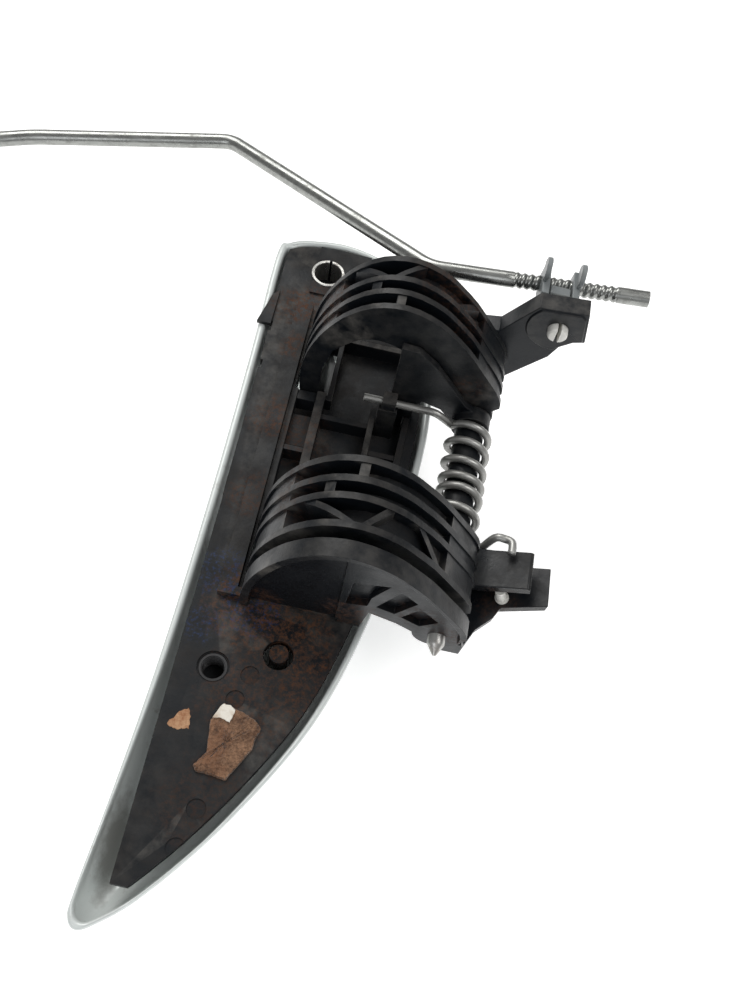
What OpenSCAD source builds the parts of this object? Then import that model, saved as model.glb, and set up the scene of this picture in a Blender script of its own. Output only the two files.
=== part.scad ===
// Flap-type outer door handle, seen from its inner side: a leaf-shaped painted cover with a black moulded
// base, a flap whose gooseneck arms arch over the base to a hinge pin, a closing spring and a lock rod.
// Origin: middle of the upper fixing sleeve, on the base plate's inner face.
// +Y runs along the leaf to its wide end, +Z points into the door, +X points to the hinge pin.

/* [Leaf] */
// Depth of the painted cover below the base plate's face
cover_depth = 12; // [10:0.5:14]
// Wall of the painted cover
cover_wall = 2.2; // [1.8:0.1:2.6]
// Thickness of the base plate
plate_t = 2.5; // [2:0.1:3]

/* [Fixings] */
// Outer diameter of the split steel sleeve
sleeve_od = 9; // [8:0.1:9.5]
// Inner diameter of the split steel sleeve
sleeve_id = 7.2; // [6.4:0.1:7.4]
// Length of the split steel sleeve
sleeve_len = 6.4; // [5.6:0.2:6.4]
// Inner diameter of the lower threaded insert
insert_id = 5; // [4:0.1:5.5]
// Depth of the lower threaded insert
insert_len = 6.6; // [5:0.2:6.8]

/* [Hinge] */
// Distance of the hinge pin from the sleeve, across the leaf
pin_x = 43.6; // [43.2:0.1:43.8]
// Height of the hinge pin above the base plate's face
pin_z = 4; // [3:0.1:5]
// Diameter of the hinge pin
pin_d = 4; // [3.5:0.1:4.5]
// Radius of the arms' ridge where it slides through the base
ridge_r = 43.6; // [43.2:0.1:43.8]
// Height of the arms' crest above the base plate's face
crest_z = 36.2; // [35:0.1:37]

/* [Spring] */
// Diameter of the spring wire
wire_d = 1.9; // [1.6:0.1:2]
// Outer diameter of the spring's coils
coil_od = 11.6; // [11:0.1:12]

/* [Lock rod] */
// Diameter of the lock rod
rod_d = 4; // [3.5:0.1:4.2]
// Height of the rod clip's stud above the base plate's face
stud_z = 24; // [23.6:0.1:24.2]
// Distance of the rod clip's stud from the sleeve, across the leaf
stud_x = 58.2; // [58:0.1:58.6]

/* [Hidden] */
$fn = 48;
eps = 0.05;
black = "#23272b";
black_worn = "#2e3032";
silver = "#dfe5e3";
steel = "#b9bdbc";

// Point of a smooth curve at t between b and c, where a comes before and d after
function between(a, b, c, d, t) =
    0.5 * (2 * b + (c - a) * t + (2 * a - 5 * b + 4 * c - d) * t * t + (3 * b - a - 3 * c + d) * t * t * t);

// Smooth closed curve through the given points, with a number of steps in each span
function spline(p, steps) =
    let (n = len(p))
    [for (i = [0 : n - 1], k = [0 : steps - 1])
        between(p[(i + n - 1) % n], p[i], p[(i + 1) % n], p[(i + 2) % n], k / steps)];

// The same for an open curve
function open_spline(p, steps) =
    let (n = len(p))
    concat(
        [for (i = [0 : n - 2], k = [0 : steps - 1])
            between(p[max(0, i - 1)], p[i], p[i + 1], p[min(n - 1, i + 2)], k / steps)],
        [p[n - 1]]);

// Leaf outline, anticlockwise from the pointed tip
leaf_points = [
    [-14.4, -166.6], [-11.3, -165.2], [-4.4, -159.2], [6.2, -145.8], [16.5, -129.2], [23.1, -114.7],
    [28.2, -96], [31.6, -76], [33.6, -56], [34, -38], [31.8, -18], [26.5, -3], [17.5, 8], [5, 12.4],
    [-6, 11.6], [-12.6, 9], [-15, 4], [-14.1, -30], [-13.6, -70], [-13.9, -110], [-15.2, -140],
    [-16.6, -160], [-16.4, -164.8]
];
leaf_steps = 4;
leaf = spline(leaf_points, leaf_steps);

// Point of the leaf's curved long axis that lies across from p
function leaf_axis(p) =
    let (t = max(0, min(86, -p[1] - 60)) / 86)
    [10 - 15 * t * t, min(-14, max(-146, p[1]))];

// The leaf drawn in towards its long axis by a share of the way there, keeping its number of points
function leaf_in(share) = [for (p = leaf) p + (leaf_axis(p) - p) * share];

// Closed skin through rings of points that have the same count
module loft(rings) {
    n = len(rings[0]);
    m = len(rings);
    points = [for (r = rings) each r];
    sides = [for (j = [0 : m - 2], i = [0 : n - 1])
        each [
            [(j + 1) * n + (i + 1) % n, j * n + (i + 1) % n, j * n + i],
            [(j + 1) * n + i, (j + 1) * n + (i + 1) % n, j * n + i]
        ]];
    first = [[for (i = [0 : n - 1]) i]];
    last = [[for (i = [n - 1 : -1 : 0]) (m - 1) * n + i]];
    polyhedron(points, concat(first, sides, last), convexity = 6);
}

function at_z(ring, z) = [for (p = ring) [p[0], p[1], z]];

// Extrudes a profile drawn in X and Z, from y0 towards +Y
module across(y0, width) {
    translate([0, y0 + width, 0])
        rotate([90, 0, 0])
            linear_extrude(width)
                children();
}

module along_y(y0, length, d) {
    translate([0, y0 + length, 0])
        rotate([90, 0, 0])
            cylinder(d = d, h = length);
}

module on_pin(y0, length, d) {
    translate([pin_x, 0, pin_z])
        along_y(y0, length, d);
}

// Zones of the base
tray_points = [
    [-1.4, -93.2], [20.2, -93.2], [25.6, -78], [28.4, -58], [29, -38], [27.4, -18.6], [-1.4, -18.6]
];
tray_left = -1.4;
tray_floor = -5;
tray_wall = 1.6;
rail_top = 1.6;
plate_inset = 3;

// Arms and brackets, from the sleeve's line towards the tip
upper_ribs = [-22.8, -28.5, -32.4, -36.7];
lower_ribs = [-76.2, -80.8, -84.8, -91.1];
rib_t = 1.5;
groove = 5;
upper_slot = [-37.4, -20.7];
lower_slot = [-91.8, -74];
slot_x = [-0.7, 7.6];
upper_bracket_y = -39.2;
bracket_t = 1.8;
lower_bracket_y = -97.6;
lower_flange_t = 4;
flange_t = 1.8;
leg_depth = 5;
foot_angle = -36.5;
skin_depth = 0.6;
window_angles = [31, 80];
barrel_d = 10;
bush_d = 6;
running_gap = 0.04;

// Grip's inner face, and the arms' feet that are screwed to it
grip_z = -22;
foot_x = 6.4;
foot_w = 15;
foot_t = 4;
screw_x = 18;
screw_d = 3;
screw_y = [for (ribs = [upper_ribs, lower_ribs]) (min(ribs) + max(ribs) + rib_t) / 2];

// Ridge of the gooseneck in polar form about the pin: angle above -X, and radius
ridge_polar = [
    [36, ridge_r], [47, ridge_r - 0.9], [57, ridge_r - 4.2], [66, ridge_r - 10.6], [73, ridge_r - 17.2],
    [87, ridge_r - 26.6], [107, ridge_r - 32], [140, ridge_r - 36]
];
ridge_curve = open_spline(ridge_polar, 3);
ridge_scale = (crest_z - pin_z) / 32.2;
function on_ridge(a, r) = [pin_x - r * cos(a), pin_z + r * sin(a) * ridge_scale];
arc_step = 3;

// Outer edge of an arm from its foot over the crest to the barrel, drawn in by d
function outer_edge(a0, d) = concat(
    [for (a = [a0 : arc_step : ridge_polar[0][0] - 1]) on_ridge(a, ridge_r - d)],
    [for (q = ridge_curve) on_ridge(q[0], max(barrel_d / 2, q[1] - d))]
);

// The same edge with deep windows over the crest and only a thin skin's depth elsewhere
function window_edge(a0) = concat(
    [for (a = [a0 : arc_step : window_angles[0] - 2]) on_ridge(a, ridge_r - skin_depth)],
    [on_ridge(window_angles[0], ridge_r - skin_depth), on_ridge(window_angles[0] + 1, ridge_r - groove)],
    [for (q = ridge_curve) if (q[0] < window_angles[1]) on_ridge(q[0], q[1] - groove)],
    [for (q = ridge_curve) if (q[0] > window_angles[1])
        on_ridge(q[0], max(barrel_d / 2, q[1] - skin_depth))]
);

// Inner edge of an arm, from the barrel back to the foot
function inner_edge(a0) = concat(
    [on_ridge(150, 4), on_ridge(-20, 4)],
    open_spline([[36.6, 5], [33.5, 9], [29.6, 17], [24.5, 22.2], [18.6, 24.6], [13.4, 23.6], [9.6, 20]], 4),
    [for (a = [20 : -arc_step : a0]) on_ridge(a, ridge_r - leg_depth)],
    [on_ridge(a0, ridge_r - leg_depth)]
);

module arm_slice(y0, width, edge) {
    across(y0, width)
        polygon(concat(edge, inner_edge(foot_angle)));
}

// Wall between two ribs, from one point in X and Y to another, standing up to the ridge
module brace(from, to) {
    run = to - from;
    turn = atan2(run[1], run[0]);
    translate([from[0], from[1], 20])
        rotate([0, 0, turn])
            translate([0, -0.6, 0])
                cube([norm(run), 1.2, 20]);
}

module gooseneck(ribs, webs, braces) {
    y_low = min(ribs);
    y_high = max(ribs) + rib_t;
    difference() {
        union() {
            for (y = ribs)
                arm_slice(y, rib_t, outer_edge(foot_angle, 0));
            arm_slice(y_low, y_high - y_low, window_edge(foot_angle));
            on_pin(y_low, y_high - y_low, barrel_d);
            // foot that the grip is screwed to
            translate([foot_x, y_low, grip_z])
                cube([foot_w, y_high - y_low, foot_t]);
            intersection() {
                union() {
                    for (w = webs)
                        translate([w[0] - 1, w[1], 10])
                            cube([2, w[2], 30]);
                    for (b = braces)
                        brace(b[0], b[1]);
                }
                arm_slice(y_low, y_high - y_low, outer_edge(foot_angle, 0.4));
            }
        }
        on_pin(y_low - 1, y_high - y_low + 2, bush_d);
        translate([screw_x, (y_low + y_high) / 2, grip_z - 1])
            cylinder(d = screw_d + 0.2, h = foot_t + 2);
    }
}

module slots() {
    for (s = [upper_slot, lower_slot])
        translate([slot_x[0], s[0], -30])
            cube([slot_x[1] - slot_x[0], s[1] - s[0], 60]);
}

// Edge of the black plate: the leaf drawn in, with its left side stepped and its tip cut off
module plate_outline() {
    difference() {
        offset(delta = -plate_inset)
            polygon(leaf);
        translate([-30, -200])
            square([60, 200 - 157.6]);
        translate([-9.6, -157.6])
            rotate(25)
                translate([-20, -12])
                    square([20, 12]);
        // clip notches on the left side
        translate([-20, -22])
            square([9.3, 3.2]);
        translate([-20, -33.9])
            square([9.6, 2.6]);
        translate([-20, -160])
            square([9.6, 89.2]);
    }
}

// Height and place of the spring's fixed leg
leg_y = -41.2;
leg_z = 8;
peg_pos = [10.8, -106.4];
insert_pos = [-2.2, -111.8];
boss_d = 11;

// ---- fixed on the door ----

module base_plate() {
    color(black)
        difference() {
            union() {
                translate([0, 0, -plate_t])
                    linear_extrude(plate_t)
                        plate_outline();
                // raised land round the sleeve
                translate([-3.6, -7.2, -eps])
                    cube([14, 16, 0.6 + eps]);
                // wedge that hooks over the cover's rim
                translate([0, 0, -0.1])
                    linear_extrude(1)
                        polygon([[-11, -9], [-12.6, -11], [-14.6, -20.4], [-11, -20.4]]);
                // left rail of the frame
                translate([-5.6, -95, -eps])
                    cube([4.2, 83, rail_top + eps]);
                // bottom wall of the frame
                translate([-5.6, -95.4, -eps])
                    cube([27, 2, rail_top + eps]);
                // bosses for the sleeve and the threaded insert
                translate([0, 0, -sleeve_len - 0.4])
                    cylinder(d = sleeve_od + 3.6, h = sleeve_len);
                translate([insert_pos[0], insert_pos[1], -insert_len - 1])
                    cylinder(d = boss_d, h = insert_len);
            }
            translate([0, 0, -20])
                linear_extrude(40)
                    polygon(tray_points);
            translate([0, 0, -sleeve_len])
                cylinder(d = sleeve_od, h = 20);
            translate([insert_pos[0], insert_pos[1], -insert_len - 0.5])
                cylinder(d = insert_id + 1.4, h = 20);
            translate([insert_pos[0], insert_pos[1], -0.5])
                cylinder(d = insert_id + 2, h = 20);
            translate([peg_pos[0], peg_pos[1], -10])
                cylinder(d = 6.6, h = 20);
            // ejector marks
            for (p = [[5.9, -112], [4.1, -117.8], [13.4, -100.6], [20, -106], [2, -141], [0, -149]])
                translate([p[0], p[1], -0.25])
                    cylinder(d = 4, h = 1);
        }
}

module base_tray() {
    color(black_worn)
        difference() {
            union() {
                // walls and floor
                difference() {
                    translate([0, 0, tray_floor - tray_wall])
                        linear_extrude(-tray_floor + tray_wall)
                            offset(delta = -eps)
                                polygon(tray_points);
                    translate([0, 0, tray_floor])
                        linear_extrude(20)
                            offset(delta = -tray_wall)
                                polygon(tray_points);
                }
                // second rail and third rib, along the leaf
                translate([5, -73, tray_floor - eps])
                    cube([2.2, 39, -tray_floor + eps + 0.6]);
                translate([18.9, -62, tray_floor - eps])
                    cube([1.5, 24.6, -tray_floor + eps]);
                // cross ribs
                for (r = [[0, 5, -40.2], [0, 5, -55.2], [7, 12, -44.6], [20, 7.6, -52]])
                    translate([r[0], r[2], tray_floor - eps])
                        cube([r[1] + eps, 1.4, -tray_floor + eps - 0.4]);
                // stepped blocks between the rails
                translate([0, -52.4, tray_floor - eps])
                    cube([5, 9, 2.4]);
                translate([9.5, -68, tray_floor - eps])
                    cube([7, 14, 1.4]);
                // post for the spring's fixed leg
                translate([20.6, -43.2, tray_floor - eps])
                    cube([4.6, 3.6, 12]);
                // walls round the arms' slots
                intersection() {
                    for (b = [upper_slot, lower_slot])
                        translate([tray_left + 0.2, b[0] - 1.4, tray_floor - tray_wall])
                            cube([slot_x[1] + 2.4, b[1] - b[0] + 2.8, -tray_floor + tray_wall - 0.6]);
                    translate([0, 0, -20])
                        linear_extrude(40)
                            offset(delta = -eps)
                                polygon(tray_points);
                }
            }
            slots();
            translate([10, leg_y, leg_z])
                rotate([0, 90, 0])
                    cylinder(d = wire_d + 0.8, h = 20);
        }
}

// Upper support of the pin: a web on the tray's right wall, with a barrel
module upper_bracket() {
    color(black)
        difference() {
            union() {
                across(upper_bracket_y, bracket_t)
                    polygon([[22.9, tray_floor + 0.1], [22.9, 27], [27, 26.6], [31.6, 22.6], [36, 16.8],
                        [41, 10], [47, 6], [pin_x, -0.6], [38.6, 3], [35.4, 6.6], [30.6, 8.2], [29, 5.4],
                        [29, 0.1], [27, 0.1], [27, tray_floor + 0.1]]);
                on_pin(upper_bracket_y - 2, bracket_t + 2, barrel_d - 0.6);
            }
            on_pin(upper_bracket_y - 3, bracket_t + 4, pin_d);
        }
}

web_y = lower_bracket_y + 2.2;
web_t = 1.8;
boss_y = -96;
lower_boss_d = 11.2;
back_t = 0.8;
// Recesses between the truss's bars
truss_windows = [
    [[22.4, 11.4], [23, 22.8], [30.6, 24.6], [27.4, 17], [27, 12.6]],
    [[28.9, 13], [33, 23], [37, 19], [33, 11.4]],
    [[34.6, 10.4], [38.1, 16.8], [42.6, 11.6], [39, 7.6]]
];
lower_chord = [[pin_x, pin_z - 4.8], [38.4, 3.4], [34, 6.4], [27.8, 9], [26.6, eps], [20.4, eps]];

// Lower support of the pin: a wall on the tray's end, with a wide flange along the arms' ridge and a truss
module lower_bracket() {
    color(black)
        difference() {
            union() {
                difference() {
                    across(lower_bracket_y, lower_flange_t)
                        polygon(concat(outer_edge(-2, 0), lower_chord, [[1.8, 0.1]]));
                    across(lower_bracket_y - 1, lower_flange_t + 2)
                        polygon(concat(outer_edge(-8, flange_t), [[pin_x, -20], [0, -20]]));
                }
                across(web_y, web_t)
                    polygon(concat(outer_edge(2, 0.6), lower_chord, [[20.4, 0.1], [1.8, 0.1]]));
                // the truss stands as far out as the boss
                intersection() {
                    across(boss_y, 2)
                        polygon(concat(outer_edge(2, 0.6), lower_chord));
                    translate([21, -120, -10])
                        cube([40, 60, 60]);
                }
                on_pin(boss_y, lower_bracket_y + lower_flange_t - boss_y, lower_boss_d);
            }
            for (w = truss_windows)
                across(lower_bracket_y - 1, 1 + lower_flange_t - back_t)
                    polygon(w);
            on_pin(lower_bracket_y - 1, lower_flange_t + 2, pin_d);
            // seat on the frame's bottom wall
            translate([-5, lower_bracket_y - 1, -20])
                cube([26.5, 8, 20 + rail_top + eps]);
        }
}

// Both lugs rise away from the pin
lug_tilt = 19;
lug_y = [-82.8, -73.6];
stop_t = 2.4;
stop_end = [67.4, 4.1];
buffer_pos = [57.4, -82.2];
buffer_h = 4.2;
function stop_top(x) = stop_end[1] + (x - stop_end[0]) * tan(lug_tilt);

// Lug behind the flap's lug, on a strip from the lower bracket's boss
module closing_stop() {
    color(black)
        difference() {
            intersection() {
                across(-100, 40)
                    polygon([stop_end, stop_end - [0, stop_t], [50, stop_top(50) - stop_t],
                        [44, stop_top(50) - stop_t], [44, 1.2], [49.6, 1.2], [50.6, stop_top(50.6)]]);
                translate([0, 0, -20])
                    linear_extrude(40)
                        polygon([[50.8, -73.9], [67.2, -73.9], [67.4, -83.4], [57.4, -84.6], [56, -87.2],
                            [52.6, -90.4], [50, -95.8], [44, -95.8], [44, -92.4], [49.4, -92.4], [49.4, -84]]);
            }
            on_pin(-120, 60, lower_boss_d + 2 * eps);
        }
}

module stop_buffer() {
    color("#e4e2da")
        translate([buffer_pos[0], buffer_pos[1], stop_top(buffer_pos[0]) + eps])
            rotate([0, -lug_tilt, 0])
                union() {
                    cylinder(d = 3.2, h = 0.7);
                    cylinder(d = 2.4, h = buffer_h);
                }
}

// Rings of the cover, up its outer skin, over its rim and down its inner skin:
// share of the way to the leaf's axis, and height
cover_rings = [
    [0.42, 0], [0.25, 1.4], [0.11, 4.2], [0.03, 8], [0, cover_depth - 0.2],
    [0.09, cover_depth - 0.2], [0.09, cover_wall + 6.6], [0.22, cover_wall + 3], [0.48, cover_wall]
];

module outer_cover() {
    color(silver)
        difference() {
            loft([for (r = cover_rings) at_z(leaf_in(r[0]), r[1] - cover_depth)]);
            // opening over the finger space
            translate([0, 0, -40])
                linear_extrude(60)
                    offset(delta = 0.4)
                        polygon(tray_points);
        }
}

module mounting_sleeve() {
    color(steel)
        translate([0, 0, -sleeve_len])
            difference() {
                cylinder(d = sleeve_od - 2 * eps, h = sleeve_len + 0.9);
                translate([0, 0, -1])
                    cylinder(d = sleeve_id, h = sleeve_len + 4);
                translate([-0.3, 0, -1])
                    cube([0.6, sleeve_od, sleeve_len + 4]);
            }
}

module screw_insert() {
    color("#3a3d40")
        translate([insert_pos[0], insert_pos[1], -insert_len - 0.5 + eps])
            difference() {
                cylinder(d = insert_id + 1.4 - 2 * eps, h = insert_len - eps);
                translate([0, 0, -1])
                    cylinder(d = insert_id, h = insert_len + 2);
            }
}

module locating_peg() {
    color(black)
        translate([peg_pos[0], peg_pos[1] + 0.5, -cover_depth + cover_wall + eps])
            cylinder(d = 4.2, h = cover_depth - cover_wall - 0.4 - eps);
}

pad_points = [
    [0.3, -123.1], [2.2, -119], [5.7, -120], [9.2, -121.2], [10.9, -122.8], [10.1, -127.4], [6.3, -134.8],
    [3.9, -134.3], [-0.1, -134.1], [-0.9, -132.8], [1.2, -129.7]
];

module foam_pad() {
    color("#7a5238")
        translate([0, 0, eps])
            linear_extrude(1.1)
                polygon(pad_points);
}

module pad_backing() {
    color("#e9e6dc")
        translate([0, 0, 1.25])
            linear_extrude(0.25)
                polygon([[0.4, -122.9], [2.2, -119.2], [5.2, -120.1], [4.4, -123.4]]);
}

pin_y = [-97.8, -15.8];
cone_h = 2.6;

module hinge_pin() {
    color(steel)
        translate([pin_x, pin_y[1], pin_z])
            rotate([90, 0, 0])
                union() {
                    cylinder(d = pin_d - 0.1, h = pin_y[1] - pin_y[0]);
                    translate([0, 0, pin_y[1] - pin_y[0]])
                        cylinder(d1 = pin_d - 0.1, d2 = 0.8, h = cone_h);
                    translate([0, 0, -0.6])
                        cylinder(d1 = pin_d - 1.4, d2 = pin_d - 0.1, h = 0.6);
                }
}

tube_y = [-74.4, -41.4];

module spring_tube() {
    color(black)
        difference() {
            on_pin(tube_y[0], tube_y[1] - tube_y[0], 7.2);
            on_pin(tube_y[0] - 1, tube_y[1] - tube_y[0] + 2, pin_d);
        }
}

coil_y = [-72.4, -42.2];

module wire(from, to) {
    hull()
        for (p = [from, to])
            translate(p)
                sphere(d = wire_d, $fn = 16);
}

module torsion_spring() {
    color("#a9aca8")
        union() {
            difference() {
                on_pin(coil_y[0], coil_y[1] - coil_y[0], coil_od);
                on_pin(coil_y[0] - 1, coil_y[1] - coil_y[0] + 2, coil_od - 2 * wire_d);
            }
            // fixed leg, to the post
            translate([17, leg_y, leg_z])
                rotate([0, 90, 0])
                    cylinder(d = wire_d, h = 14);
            wire([30, leg_y, leg_z], [38.4, -43.2, 7.4]);
            // moving leg, beside the lug
            wire([47.6, -71.4, 6.6], [55.2, -71.4, leg_z + 1]);
            wire([55.2, -71.4, leg_z + 1], [56.2, -72.2, leg_z + 1.4]);
        }
}

module spring_clip() {
    color(black)
        difference() {
            translate([21.2, leg_y - 1.8, 7.05])
                cube([3.4, 3.55, 2.8]);
            translate([10, leg_y, leg_z])
                rotate([0, 90, 0])
                    cylinder(d = wire_d + 0.8, h = 20);
        }
}

// ---- flap ----

// Paddle outline, drawn in by d
function paddle(d) = [for (p = spline([
    [-5, -99], [7, -102.5], [19, -97], [24.6, -76], [25.8, -52], [24.4, -28], [17, -12], [5, -8.4],
    [-4.6, -12], [-6.4, -34], [-6, -76]], 4))
    let (c = [9, min(-22, max(-86, p[1]))], v = c - p)
    p + v * min(1, d / norm(v))];

// The paddle leans towards the cover on its hinge side
paddle_slope = 0.16;
function leaning(ring, z) = [for (p = ring) [p[0], p[1], z + paddle_slope * (p[0] - foot_x)]];

module flap_grip() {
    color(silver)
        difference() {
            loft([
                leaning(paddle(7), grip_z - 6),
                leaning(paddle(3), grip_z - 5),
                leaning(paddle(0.8), grip_z - 3),
                leaning(paddle(0), grip_z - 1),
                leaning(paddle(1.2), grip_z)
            ]);
            // seats of the arms' feet
            for (ribs = [upper_ribs, lower_ribs])
                translate([foot_x - eps, min(ribs) - eps, grip_z])
                    cube([foot_w + 2 * eps, max(ribs) + rib_t - min(ribs) + 2 * eps, 10]);
            for (y = screw_y)
                translate([screw_x, y, grip_z - 3])
                    cylinder(d = screw_d + 0.06, h = 5);
        }
}

// Webs between two ribs: middle in X, start in Y, width in Y
upper_webs = [[20.4, -35.6, 4], [14.4, -31.2, 3.4]];
lower_webs = [[20.4, -80, 4.4], [14.4, -84, 4]];
// Braces that cross the widest groove
upper_braces = [[[8.6, -21.8], [17.2, -28]], [[17.2, -28], [25, -21.8]], [[33, -28], [39, -21.8]]];
lower_braces = [[[9.6, -84], [21.6, -90.8]], [[21.6, -90.8], [27.8, -84]], [[33.3, -84], [39.7, -90.8]]];

module upper_arm() {
    color(black)
        gooseneck(upper_ribs, upper_webs, upper_braces);
}

module lower_arm() {
    color(black)
        gooseneck(lower_ribs, lower_webs, lower_braces);
}

lever_y = [-21.3, -16.6];
lever_points = [
    [34, 26], [41, 18], [45.2, 18.8], [50.4, 27.2], [52.2, 30], [63.8, 31], [65.6, 21.2], [63, 20.2],
    [60.3, 17.6], [58.8, 13.2], [48.6, -0.8], [44, 4], [38.4, 4], [34.6, 14]
];
stud_d = 5;

module rod_lever() {
    color(black)
        difference() {
            union() {
                across(lever_y[0], lever_y[1] - lever_y[0])
                    polygon(lever_points);
                // raised land round the stud
                intersection() {
                    across(lever_y[0] - 0.4, 2)
                        offset(delta = -0.6)
                            polygon(lever_points);
                    translate([stud_x, 0, stud_z])
                        along_y(-40, 40, 15);
                }
                on_pin(lever_y[0], lever_y[1] - lever_y[0], barrel_d);
            }
            translate([stud_x, 0, stud_z])
                along_y(-40, 40, stud_d);
            on_pin(-40, 40, pin_d + 2 * running_gap);
        }
}

module spring_lug() {
    color(black)
        difference() {
            across(lug_y[0], lug_y[1] - lug_y[0])
                polygon([[47.6, 2.4], [47.6, 5.6], [48.5, 6.4], [50.2, 6.2], [53, 6.7], [61.2, 9.5],
                    [61.9, 9.2], [62.3, 7.2], [54, 4.3], [50.4, 2.8]]);
            // seat on the arm's barrel
            on_pin(lug_y[0] - 1, lug_y[1] - lug_y[0] + 2, barrel_d + 2 * eps);
        }
}

module arm_bushes() {
    color("#c9c6b8")
        for (span = [
            [min(upper_ribs), max(upper_ribs) + rib_t - min(upper_ribs)],
            [min(lower_ribs), max(lower_ribs) + rib_t - min(lower_ribs)]
        ])
            difference() {
                on_pin(span[0], span[1], bush_d);
                on_pin(span[0] - 1, span[1] + 2, pin_d - 0.1 + 2 * running_gap);
            }
}

module flap_screws() {
    color(steel)
        for (y = screw_y)
            translate([screw_x, y, grip_z])
                union() {
                    translate([0, 0, -2.9])
                        cylinder(d = screw_d, h = foot_t + 2.9);
                    translate([0, 0, foot_t])
                        cylinder(d = 5.6, h = 1.8);
                }
}

// ---- rod ----

rod_y = -8;

module clip_stud() {
    color("#eceae4")
        translate([stud_x, 0, stud_z])
            difference() {
                union() {
                    along_y(-23.8, 12, stud_d - 2 * running_gap);
                    along_y(lever_y[1] + 0.3, 2.2, 8);
                }
                translate([-0.45, -25, -5])
                    cube([0.9, 7, 10]);
            }
}

clip_x = [52.4, 62.2];
clip_y = [-14, -4.6];

module rod_clip() {
    color("#8f9498")
        difference() {
            union() {
                translate([clip_x[0], clip_y[0], stud_z - 3.2])
                    cube([clip_x[1] - clip_x[0], clip_y[1] - clip_y[0], 6.6]);
                for (x = [clip_x[0], clip_x[1] - 1.1])
                    translate([x, -9.6, stud_z + 3.2])
                        cube([1.1, 3.6, 5.2]);
            }
            rod_bore();
            translate([stud_x, 0, stud_z])
                along_y(-40, 40 - 11.8, stud_d - 2 * running_gap);
        }
}

// Bends of the rod, from the threaded end to the hook at its far end
rod_path = [
    [79, rod_y, stud_z + 2.3], [25.7, rod_y, stud_z - 3.6], [-33.9, 30.6, 9.4], [-85, 17.8, 7.6],
    [-112, 7.4, 6.4]
];
rod_sides = 16;
bend_run = 1.6;
hook_l = 9;
// Collar where the hook turns down
collar = [3, 2.4];
collar_swell = 1;

function unit(v) = v / norm(v);
function stretch(i) = unit(rod_path[i + 1] - rod_path[i]);

// Ring of points round c, square to a direction that isn't upright
function ring_at(c, dir, r) =
    let (a = unit(cross([0, 0, 1], dir)), b = cross(dir, a))
    [for (i = [0 : rod_sides - 1])
        let (t = 360 * i / rod_sides)
        c + r * (cos(t) * a + sin(t) * b)];

module rod_bore() {
    dir = stretch(0);
    translate(rod_path[1])
        rotate([0, acos(dir[2]), atan2(dir[1], dir[0])])
            translate([0, 0, -120])
                cylinder(d = rod_d, h = 120);
}

module lock_rod() {
    last = len(rod_path) - 1;
    r = rod_d / 2;
    color(steel)
        union() {
            loft(concat(
                [ring_at(rod_path[0], stretch(0), r)],
                [for (i = [1 : last - 1])
                    each [
                        ring_at(rod_path[i] - bend_run * stretch(i - 1), stretch(i - 1), r),
                        ring_at(rod_path[i] + bend_run * stretch(i), stretch(i), r)
                    ]],
                [ring_at(rod_path[last], stretch(last - 1), r * 0.9)]
            ));
            translate(rod_path[last] - [0, 0, collar[0]])
                union() {
                    cylinder(d = rod_d + collar_swell, h = collar[0] + collar[1]);
                    translate([0, 0, -hook_l])
                        cylinder(d = rod_d, h = hook_l);
                }
        }
}

base_plate();
base_tray();
upper_bracket();
lower_bracket();
closing_stop();
stop_buffer();
outer_cover();
mounting_sleeve();
screw_insert();
locating_peg();
foam_pad();
pad_backing();
hinge_pin();
spring_tube();
torsion_spring();
spring_clip();
flap_grip();
upper_arm();
lower_arm();
rod_lever();
spring_lug();
arm_bushes();
flap_screws();
clip_stud();
rod_clip();
lock_rod();
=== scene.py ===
import math
import random

import bmesh
import bpy
from mathutils import Matrix, Vector


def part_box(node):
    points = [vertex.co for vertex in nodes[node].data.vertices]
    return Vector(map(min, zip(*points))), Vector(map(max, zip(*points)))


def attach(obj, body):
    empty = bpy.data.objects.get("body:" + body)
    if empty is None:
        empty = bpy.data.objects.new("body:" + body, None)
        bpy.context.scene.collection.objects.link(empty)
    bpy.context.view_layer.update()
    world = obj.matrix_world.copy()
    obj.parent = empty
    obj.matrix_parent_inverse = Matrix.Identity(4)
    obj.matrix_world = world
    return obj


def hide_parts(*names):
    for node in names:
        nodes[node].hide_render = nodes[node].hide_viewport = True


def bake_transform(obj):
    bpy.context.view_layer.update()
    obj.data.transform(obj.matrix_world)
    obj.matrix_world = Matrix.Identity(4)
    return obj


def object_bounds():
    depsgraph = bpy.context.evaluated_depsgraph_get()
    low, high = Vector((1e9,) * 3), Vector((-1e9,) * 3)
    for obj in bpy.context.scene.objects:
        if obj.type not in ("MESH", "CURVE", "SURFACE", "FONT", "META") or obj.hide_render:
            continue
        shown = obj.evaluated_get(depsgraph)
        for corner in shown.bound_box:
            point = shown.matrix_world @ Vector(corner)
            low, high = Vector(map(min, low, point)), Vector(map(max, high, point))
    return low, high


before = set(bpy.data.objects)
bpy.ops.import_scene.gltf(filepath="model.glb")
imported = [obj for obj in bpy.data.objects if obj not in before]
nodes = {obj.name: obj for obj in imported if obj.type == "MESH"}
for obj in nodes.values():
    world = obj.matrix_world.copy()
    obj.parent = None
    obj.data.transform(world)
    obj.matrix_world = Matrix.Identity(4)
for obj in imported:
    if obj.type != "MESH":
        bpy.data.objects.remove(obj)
cad_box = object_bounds()
MM = 0.001
random.seed(7)


# ---------------------------------------------------------------- mesh helpers

def new_object(name, mesh):
    obj = bpy.data.objects.new(name, mesh)
    bpy.context.scene.collection.objects.link(obj)
    return obj


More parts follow.
